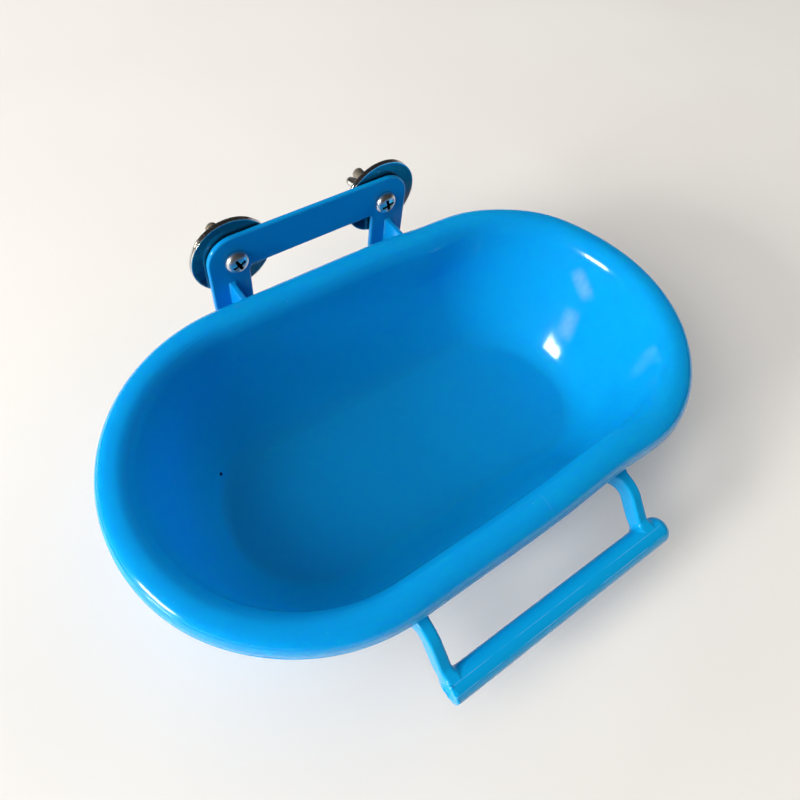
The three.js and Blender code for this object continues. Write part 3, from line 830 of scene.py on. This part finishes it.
def screw_skin(x, recess_turn):
    """A pan-head screw along Y. The head's top is a dome, a height over a disc, with a cross sunk in it:
    two crossed troughs that get shallower outwards. The shank is a thread: its radius falls and rises as a
    triangle wave of the height less one pitch a turn, and fades out in a chamfer at the tip."""
    steps = SCREW_TURN_STEPS
    turn = np.linspace(0, 2 * math.pi, steps, endpoint=False)
    under = PLATE_FRONT - SEAT_GAP
    top = under - HEAD_HEIGHT
    head = HEAD_DIAMETER / 2
    t = np.linspace(0, 1, HEAD_STEPS)
    dome_reach = 2 * HEAD_CROWN * t * (1 - t) + head * t * t
    dome_y = top + (HEAD_HEIGHT - HEAD_RIM) * t * t
    u = dome_reach[:, None] * np.cos(turn - recess_turn)
    v = dome_reach[:, None] * np.sin(turn - recess_turn)

    def trough(length, cross):
        """One trough of the cross: as deep as its distance from the end, with steep sides."""
        outside, inside = [RECESS_WIDTH / 2 + slope for slope in RECESS_SIDE]
        sides = smooth_step(outside, inside, np.abs(cross))
        return sides * np.clip(1 - np.abs(length) / RECESS_REACH, 0, 1) ** RECESS_TAPER

    sunk = RECESS_DEPTH * np.maximum(trough(u, v), trough(v, u))
    rows = [np.stack([dome_reach[:, None] + 0 * turn, dome_y[:, None] + sunk], -1)]
    rim = np.array([
        [head, under - HEAD_RIM + HEAD_BAND_DROP],
        [head, under - HEAD_UNDER_ROUND],
        [head - HEAD_UNDER_ROUND, under],
        [SCREW_RADIUS + SHANK_ROOT, under],
    ])
    rows.append(np.broadcast_to(rim[:, None], (len(rim), steps, 2)))
    tip = under + SCREW_LENGTH
    y = np.linspace(under, tip, THREAD_STEPS)[1:, None]
    wave = np.abs(2 * (((y - under) / THREAD_PITCH - turn / (2 * math.pi)) % 1) - 1)
    depth = THREAD_DEPTH * smooth_step(under, under + THREAD_RUN_OUT, y)
    reach = SCREW_RADIUS - depth * np.clip(THREAD_SHARPNESS * wave - THREAD_CREST, 0, 1)
    reach = np.minimum(reach, SCREW_RADIUS - SCREW_CHAMFER + (tip - y))
    rows.append(np.stack([reach, y + 0 * turn], -1))
    rows.append(np.stack([np.zeros((1, steps)), np.full((1, steps), tip)], -1))
    flat = np.concatenate(rows)
    grid = np.stack([
        x + flat[..., 0] * np.cos(turn),
        flat[..., 1],
        SCREW_Z + flat[..., 0] * np.sin(turn),
    ], -1)
    return quads(grid, close_columns=True)


def washer_skin(x, y):
    """A flat ring with rounded rims: its section is a rounded rectangle, turned round the screw."""
    inner = HOLE_RADIUS
    outer = WASHER_DIAMETER / 2
    edge = WASHER_EDGE
    section = np.concatenate([
        arc((inner + edge, WASHER - edge), edge, math.pi, math.pi / 2, WASHER_HOLE_STEPS),
        straight((inner + edge, WASHER), (outer - edge, WASHER), WASHER_FACE_STEPS)[1:-1],
        arc((outer - edge, WASHER - edge), edge, math.pi / 2, 0, WASHER_RIM_STEPS),
        arc((outer - edge, edge), edge, 0, -math.pi / 2, WASHER_RIM_STEPS),
        straight((outer - edge, 0), (inner + edge, 0), WASHER_FACE_STEPS)[1:-1],
        arc((inner + edge, edge), edge, -math.pi / 2, -math.pi, WASHER_HOLE_STEPS),
    ])
    section = np.concatenate([section, section[:1]])
    return lathe(section, (x, y, SCREW_Z), WASHER_TURN_STEPS, SCREW_AXIS)


def wing_nut_skins(x, wing_turn):
    """A wing nut: a tapered barrel turned about the screw, and two ears, each a rounded plate fanned from
    near its middle. Both are turned about the screw to where the nut stopped."""
    bore = SCREW_RADIUS + THREAD_CLEARANCE
    base = NUT_BASE_DIAMETER / 2
    crown = NUT_TOP_DIAMETER / 2
    section = np.array([
        [bore + NUT_CHAMFER, 0],
        [base - NUT_CHAMFER, 0],
        [base - NUT_BASE_EDGE, NUT_BASE_EDGE],
        [base, NUT_CHAMFER],
        *[[crown - inset, NUT_HEIGHT - drop] for inset, drop in NUT_CROWN_INSETS],
        [bore + NUT_CHAMFER, NUT_HEIGHT],
        [bore, NUT_HEIGHT - NUT_CHAMFER],
        [bore, NUT_CHAMFER],
        [bore + NUT_CHAMFER, 0],
    ])
    skins = [lathe(section, (0, 0, 0), NUT_TURN_STEPS, SCREW_AXIS)]
    tip = np.array([WING_SPAN / 2 - WING_TIP_RADIUS, WING_HEIGHT - WING_TIP_RADIUS])
    root = (bore + crown) / 2
    round_tip = arc(tip, WING_TIP_RADIUS, 0, WING_TIP_SWEEP, WING_STEPS)
    runs = [
        bend((root, WING_ROOT_RISE), (tip[0], WING_ROOT_RISE), (WING_SPAN / 2, tip[1]), WING_STEPS),
        round_tip,
        bend(round_tip[-1], (crown + WING, NUT_HEIGHT), (root, NUT_HEIGHT), WING_STEPS),
        straight((root, NUT_HEIGHT), (root, WING_ROOT_RISE), WING_ROOT_STEPS),
    ]
    outline = np.concatenate([run[:-1] for run in runs])
    hub = np.array([tip[0] + root, NUT_HEIGHT + WING_ROOT_RISE]) / 2 + WING_HUB_SHIFT
    for points, faces in rounded_plate(outline, outward(outline), hub, WING, WING_EDGE):
        for side in (1, -1):
            ear = np.stack([side * (points[:, 2] - WING / 2), points[:, 1], side * points[:, 0]], -1)
            skins.append((ear, faces))
    turned = []
    for points, faces in skins:
        placed = np.empty_like(points)
        placed[:, 0] = x + points[:, 0] * math.cos(wing_turn) - points[:, 2] * math.sin(wing_turn)
        placed[:, 1] = NUT_Y + points[:, 1]
        placed[:, 2] = SCREW_Z + points[:, 0] * math.sin(wing_turn) + points[:, 2] * math.cos(wing_turn)
        turned.append((placed, faces))
    return turned


class Field:
    """A number that varies over a surface: a node's socket, on which each sum adds a Math node."""

    def __init__(self, paint, socket):
        self.paint = paint
        self.socket = socket

    def math(self, operation, first, second=0.0):
        settings = {"operation": operation}
        return self.paint.node("ShaderNodeMath", settings, {0: first, 1: second}, "Value")

    def __add__(self, other):
        return self.math("ADD", self, other)

    def __sub__(self, other):
        return self.math("SUBTRACT", self, other)

    def __rsub__(self, other):
        return self.math("SUBTRACT", other, self)

    def __mul__(self, other):
        return self.math("MULTIPLY", self, other)

    def __pow__(self, other):
        return self.math("POWER", self, other)

    __radd__ = __add__
    __rmul__ = __mul__

    def ramp(self, low, high):
        """0 below low, 1 above high, eased between."""
        settings = {"interpolation_type": "SMOOTHSTEP"}
        inputs = {"Value": self, "From Min": low, "From Max": high}
        return self.paint.node("ShaderNodeMapRange", settings, inputs, "Result")

    def larger(self, other):
        return self.math("MAXIMUM", self, other)


class Paint:
    """One material's nodes. node() adds any node from its type, its settings and its inputs."""

    FIRST_COLOUR = 6
    SECOND_COLOUR = 7
    MIXED_COLOUR = 2

    def __init__(self, name):
        self.material = bpy.data.materials.new(name)
        self.material.use_nodes = True
        self.tree = self.material.node_tree
        self.shader = self.tree.nodes["Principled BSDF"]
        self.place = self.node("ShaderNodeTexCoord", {}, {}, "Object")

    def link(self, value, socket):
        if isinstance(value, Field):
            self.tree.links.new(value.socket, socket)
        else:
            socket.default_value = value

    def node(self, kind, settings, inputs, output):
        node = self.tree.nodes.new(kind)
        for key, value in settings.items():
            setattr(node, key, value)
        for key, value in inputs.items():
            self.link(value, node.inputs[key])
        return Field(self, node.outputs[output])

    def part(self, axis):
        """One of the object coordinates."""
        return self.node("ShaderNodeSeparateXYZ", {}, {"Vector": self.place}, axis)

    def stretched(self, scale, turn=(0, 0, 0)):
        """Object coordinates scaled along each axis and turned."""
        inputs = {"Vector": self.place, "Scale": scale, "Rotation": turn}
        return self.node("ShaderNodeMapping", {"vector_type": "POINT"}, inputs, "Vector")

    def measure(self, operation, first, second, output):
        """A vector sum or measure, such as a distance."""
        settings = {"operation": operation}
        return self.node("ShaderNodeVectorMath", settings, {0: first, 1: second}, output)

    def noise(self, scale, detail, place=None):
        inputs = {"Vector": place or self.place, "Scale": scale, "Detail": detail}
        return self.node("ShaderNodeTexNoise", {}, inputs, "Fac")

    def patches(self, scale, detail, low, high, place=None):
        """Noise cut into patches: 0 below low and 1 above high."""
        return self.noise(scale, detail, place).ramp(low, high)

    def near(self, spot_mm, radius_mm, soft_mm):
        """1 within a radius of a spot on the piece, fading to 0."""
        away = self.measure("DISTANCE", self.place, [c * MM for c in spot_mm], "Value")
        return 1 - away.ramp(radius_mm * MM, (radius_mm + soft_mm) * MM)

    def mix(self, factor, first, second):
        """Blends two colours. A Mix node has one set of sockets for each kind of value."""
        inputs = {0: factor, self.FIRST_COLOUR: first, self.SECOND_COLOUR: second}
        return self.node("ShaderNodeMix", {"data_type": "RGBA"}, inputs, self.MIXED_COLOUR)

    def bump(self, height, depth, strength, normal=None):
        inputs = {"Height": height, "Distance": depth * MM, "Strength": strength}
        if normal:
            inputs["Normal"] = normal
        return self.node("ShaderNodeBump", {}, inputs, "Normal")

    def feed(self, **inputs):
        """Sets the shader's own sockets, named with underscores for spaces."""
        for key, value in inputs.items():
            self.link(value, self.shader.inputs[key.replace("_", " ")])


def blue_plastic(name, deep, bright, glow, marks=None, grain_stretch=None, lines=None):
    """Glossy moulded plastic: a slow drift of colour, flow haze, handling smears, hairline scratches, dust
    motes, and a faint orange-peel bump."""
    paint = Paint(name)
    drift = paint.patches(**DRIFT)
    haze = paint.patches(**HAZE)
    colour = paint.mix(drift * DRIFT_SHARE + haze * HAZE_SHARE, deep, bright)
    scratches = None
    for stretch, turn in HAIR_RUNS:
        hairs = paint.patches(**HAIRS, place=paint.stretched(stretch, turn=(0, 0, turn)))
        scratches = hairs if scratches is None else scratches.larger(hairs)
    scratches = scratches * paint.patches(**SCRATCHED)
    motes = paint.patches(**MOTES)
    pale = [c + PALE_SHARE * (1 - c) for c in bright]
    colour = paint.mix(scratches * SCRATCH_PALENESS + motes * MOTE_PALENESS, colour, pale)
    # marks adds the tub's grit speck and its painted reflection of the window
    if marks:
        colour = marks(paint, colour)
    # lines paints highlights along the perch's raised seams in a paler colour
    if lines:
        colour = paint.mix(lines(paint), colour, pale)
    smear = paint.patches(**SMEAR, place=paint.stretched(SMEAR_STRETCH, turn=(0, 0, SMEAR_TURN)))
    rough = GLOSS + SMEAR_DULLING * smear + SCRATCH_DULLING * scratches + MOTE_DULLING * motes
    height = paint.noise(PEEL_SCALE, 2) * PEEL_SHARE - scratches * SCRATCH_SINK
    if grain_stretch:
        height = height + paint.noise(1, 2, paint.stretched(grain_stretch)) * GRAIN_SHARE
    wave = paint.bump(paint.noise(WAVE_SCALE, 2), WAVE_DEPTH, WAVE_STRENGTH)
    paint.feed(
        Base_Color=colour,
        Roughness=rough,
        Normal=paint.bump(height, PEEL_DEPTH, PEEL_STRENGTH, wave),
        IOR=PLASTIC_IOR,
        Specular_IOR_Level=PLASTIC_SHINE,
        Specular_Tint=SHINE_TINT,
        Subsurface_Weight=glow,
        Subsurface_Radius=GLOW_RADIUS,
        Subsurface_Scale=GLOW_DEPTH * MM,
    )
    return paint.material


def tub_grit_and_painted_reflection(paint, colour):
    """Marks inside the tub: a painted reflection of the window, a milky streak down the right end wall in
    two patches that fade with the distance from a line, and a dark speck of grit at the left of the floor."""
    painted_reflection = None
    for start, end, half_width in REFLECTION_PATCHES:
        run = np.subtract(end, start) * MM
        length = np.linalg.norm(run)
        offset = paint.measure("SUBTRACT", paint.place, [c * MM for c in start], "Vector")
        along = paint.measure("DOT_PRODUCT", offset, (run / length).tolist(), "Value")
        away = paint.measure("LENGTH", offset, (0, 0, 0), "Value")
        aside = (away * away - along * along).larger(0) ** 0.5
        near, far = [half_width * share * MM for share in REFLECTION_FADE]
        before, after = [reach * MM for reach in REFLECTION_END]
        patch = (1 - aside.ramp(near, far)) * along.ramp(before, after)
        patch = patch * (1 - along.ramp(length - after, length - before))
        painted_reflection = patch if painted_reflection is None else painted_reflection.larger(patch)
    reflection_breakup = paint.patches(**REFLECTION_STREAKS, place=paint.stretched(REFLECTION_STREAK_STRETCH))
    # Painted reflection: the window mirrored down the right end wall, painted in as a milky colour
    colour = paint.mix(painted_reflection * (1 + reflection_breakup) * (REFLECTION_PALENESS / 2), colour, REFLECTION_MILK)
    grit = paint.near(SPECK, SPECK_RADIUS, SPECK_SOFT)
    paint.feed(Metallic=grit)
    return paint.mix(grit, colour, DARK_GRIT)


def bar_seam_highlights(paint):
    """Painted highlights along the two raised seams where the mould's halves met: fine pale lines along the
    top of the perch, broken here and there, as bands round two turns about the bar's middle."""
    aside = paint.part("Y") - PERCH_Y * MM
    rise = paint.part("Z") - PERCH_Z * MM
    turn = rise.math("ARCTAN2", rise, aside)
    seams = None
    for at, paleness in zip(SEAM_TURNS, SEAM_HIGHLIGHT_PALENESS):
        gap = turn.math("ABSOLUTE", turn - at)
        seam = paleness * (1 - gap.ramp(SEAM_WIDTH / 4, SEAM_WIDTH))
        seams = seam if seams is None else seams.larger(seam)
    return seams * paint.patches(**UNBROKEN, place=paint.stretched(UNBROKEN_STRETCH))


def polished_steel(name, bright, worn, soft, recess_y=None, shaded_face=None):
    """Nickel-plated steel: a mirror with fine scratches and dull patches. A screw head's cross is painted
    near black as shade, its threaded end is rough with painted shade in the thread's valleys, and a
    washer's flat face is painted darker than its edge, as the shade it mirrors."""
    paint = Paint(name)
    dull = paint.patches(**DULL)
    fine = paint.patches(**FINE, place=paint.stretched(FINE_STRETCH, turn=(0, FINE_TURN, 0)))
    colour = paint.mix(dull * WORN_SHARE, bright, worn)
    rough = soft + DULL_ROUGH * dull + FINE_ROUGH * fine
    x, y, z = [paint.part(axis) for axis in "XYZ"]
    across = x.math("ABSOLUTE", x) - SCREW_X * MM
    rise = z - SCREW_Z * MM
    reach = (across * across + rise * rise) ** 0.5
    if recess_y:
        # Painted shade: the screw head's cross is coloured near black
        sunk = y.ramp(*[(recess_y + depth) * MM for depth in RECESS_SHADE])
        sunk = sunk * (1 - reach.ramp(*[RECESS_REACH * share * MM for share in RECESS_BORDER]))
        colour = paint.mix(sunk, colour, PAINTED_RECESS_SHADE)
        tail = y.ramp(NUT_Y * MM, (NUT_Y + NUT_HEIGHT) * MM)
        colour = paint.mix(tail, colour, THREAD_METAL)
        # Painted shade: dark rings once a pitch along the tail, as the shade in the thread's valleys
        winding = y * (2 * math.pi / (THREAD_PITCH * MM))
        valley = winding.math("SINE", winding).ramp(*THREAD_VALLEY)
        colour = paint.mix(valley * tail * THREAD_VALLEY_SHADE, colour, DARK_THREAD_SHADE)
        rough = rough + sunk * RECESS_ROUGH + tail * THREAD_ROUGH
    if shaded_face:
        # Painted shade: a washer's flat face is dark, while its rim band keeps the plain metal colour
        rim = reach.ramp(*[(WASHER_DIAMETER / 2 - inset) * MM for inset in BRIGHT_RIM])
        colour = paint.mix(rim, shaded_face, colour)
    grain = paint.noise(STEEL_GRAIN_SCALE, 2) + fine * FINE_RELIEF
    bump = paint.bump(grain, STEEL_GRAIN_DEPTH, STEEL_GRAIN_STRENGTH)
    paint.feed(Base_Color=colour, Roughness=rough, Metallic=1, Normal=bump)
    return paint.material


def plated_steel(name):
    """Satin zinc-plated steel: blotchy grey, slightly yellow in places, with a cast grain."""
    paint = Paint(name)
    blotch = paint.patches(**BLOTCH)
    colour = paint.mix(blotch, LIGHT_ZINC, DARK_ZINC)
    colour = paint.mix(paint.patches(**STAIN) * STAIN_SHARE, colour, YELLOW_ZINC)
    bump = paint.bump(paint.noise(CAST_SCALE, 3), CAST_DEPTH, CAST_STRENGTH)
    paint.feed(Base_Color=colour, Roughness=ZINC_ROUGH + BLOTCH_ROUGH * blotch, Metallic=1, Normal=bump)
    return paint.material


def pale_floor(name):
    """Matt pale ground with a barely visible unevenness."""
    paint = Paint(name)
    colour = paint.mix(paint.patches(**UNEVEN), GROUND_DIM, GROUND_PALE)
    paint.feed(Base_Color=colour, Roughness=GROUND_ROUGH, Specular_IOR_Level=GROUND_SHINE)
    return paint.material


# Pieces
tub_blue = blue_plastic("tub_blue", DEEP_BLUE, BRIGHT_BLUE, THIN_WALL_GLOW, marks=tub_grit_and_painted_reflection)
# Painted shade: the hanger takes a darker copy of the tub's blue
hanger_shaded_blue = blue_plastic("hanger_shaded_blue", SHADED_BLUE, DEEP_BLUE, NO_GLOW)
perch_blue = blue_plastic(
    "perch_blue", DEEP_BLUE, BRIGHT_BLUE, NO_GLOW, grain_stretch=BAR_GRAIN, lines=bar_seam_highlights,
)
head_top = PLATE_FRONT - SEAT_GAP - HEAD_HEIGHT
screw_steel = polished_steel("screw_steel", BRIGHT_NICKEL, WORN_NICKEL, SCREW_SOFTNESS, head_top)
washer_steel = polished_steel(
    "washer_steel", EDGE_NICKEL, WORN_NICKEL, WASHER_SOFTNESS, shaded_face=SHADED_FACE_NICKEL,
)
zinc = plated_steel("plated_steel")

make_piece("tub_shell", [tub_skin()], "bath", "tub", tub_blue)
make_piece("hanger", hanger_skins(), "bath", "hanger_bracket", hanger_shaded_blue)
make_piece("perch_bar", perch_skins(), "bath", "perch", perch_blue)
for side, clamp in CLAMPS.items():
    x = clamp["x"]
    screw = [screw_skin(x, clamp["recess_turn"])]
    front = [washer_skin(x, FRONT_WASHER_Y)]
    rear = [washer_skin(x, REAR_WASHER_Y)]
    nut = wing_nut_skins(x, clamp["wing_turn"])
    for name, skins, body, node, slot, finish in (
        ("pan_screw", screw, f"{side}_screw", "screw", "polished_steel", screw_steel),
        ("plate_washer", front, "bath", "front_washer", "polished_steel", washer_steel),
        ("nut_washer", rear, f"{side}_clamp", "rear_washer", "polished_steel", washer_steel),
        ("wings", nut, f"{side}_nut", "wing_nut", "plated_steel", zinc),
    ):
        make_piece(f"{side}_{name}", skins, body, f"{side}_{node}", finish)

# Ground
ground_mesh = bpy.data.meshes.new("ground")
ground_corners = np.array([(-1, -1, 0), (1, -1, 0), (1, 1, 0), (-1, 1, 0)]) * GROUND_HALF_M
ground_mesh.from_pydata(ground_corners.tolist(), [], [(0, 1, 2, 3)])
ground_mesh.materials.append(pale_floor("pale_floor"))
ground = bpy.data.objects.new("ground", ground_mesh)
bpy.context.scene.collection.objects.link(ground)

# Room: dim light from all round, and a pale wall where the camera looks past the ground
world = bpy.data.worlds.new("room")
world.use_nodes = True
room = world.node_tree
room_light = room.nodes["Background"]
room_light.inputs["Color"].default_value = WORLD_COLOUR
room_light.inputs["Strength"].default_value = WORLD_STRENGTH
room_wall = room.nodes.new("ShaderNodeBackground")
room_wall.inputs["Color"].default_value = ROOM_WALL
seen = room.nodes.new("ShaderNodeLightPath")
either = room.nodes.new("ShaderNodeMixShader")
room.links.new(either.inputs[0], seen.outputs["Is Camera Ray"])
room.links.new(either.inputs[1], room_light.outputs[0])
room.links.new(either.inputs[2], room_wall.outputs[0])
room.links.new(room.nodes["World Output"].inputs["Surface"], either.outputs[0])
bpy.context.scene.world = world


def frame_matrix(right, up, back, place):
    """A placing from three axes and a point."""
    placing = np.eye(4)
    placing[:3, :4] = np.stack([right, up, back, place], -1)
    return Matrix(placing.tolist())


def area_light(name, panel):
    """A soft panel light at a heading and a lift round the tub, facing its middle."""
    turn = math.radians(panel["turn"])
    lift = math.radians(panel["lift"])
    lamp = bpy.data.lights.new(name, "AREA")
    lamp.shape = "RECTANGLE"
    lamp.size, lamp.size_y = panel["size"]
    lamp.energy = panel["watts"]
    lamp.color = WARM if name in SUNLIT else PALE
    back = np.array([math.cos(turn) * math.cos(lift), math.sin(turn) * math.cos(lift), math.sin(lift)])
    right = np.array([-math.sin(turn), math.cos(turn), 0])
    holder = bpy.data.objects.new(name, lamp)
    holder.matrix_world = frame_matrix(right, np.cross(back, right), back, back * panel["away"])
    holder.visible_glossy = name in MIRRORED
    bpy.context.scene.collection.objects.link(holder)


# Light: a low window on the left, which the pieces mirror, and soft panels all round, which they don't
for panel_name, panel in PANELS.items():
    area_light(panel_name, panel)

# Camera at the photo's angle
ahead = CAMERA_FORWARD / np.linalg.norm(CAMERA_FORWARD)
rightwards = CAMERA_RIGHT - ahead * (CAMERA_RIGHT @ ahead)
rightwards /= np.linalg.norm(rightwards)
lens = bpy.data.cameras.new("camera")
lens.sensor_fit = "HORIZONTAL"
lens.sensor_width = SENSOR_MM
lens.lens = LENS_MM
lens.clip_start = NEAREST_M
camera = bpy.data.objects.new("camera", lens)
upwards = np.cross(rightwards, ahead)
camera.matrix_world = frame_matrix(rightwards, upwards, -ahead, CAMERA_PLACE * MM)
bpy.context.scene.collection.objects.link(camera)
bpy.context.scene.camera = camera
bpy.context.scene.view_settings.view_transform = "Standard"
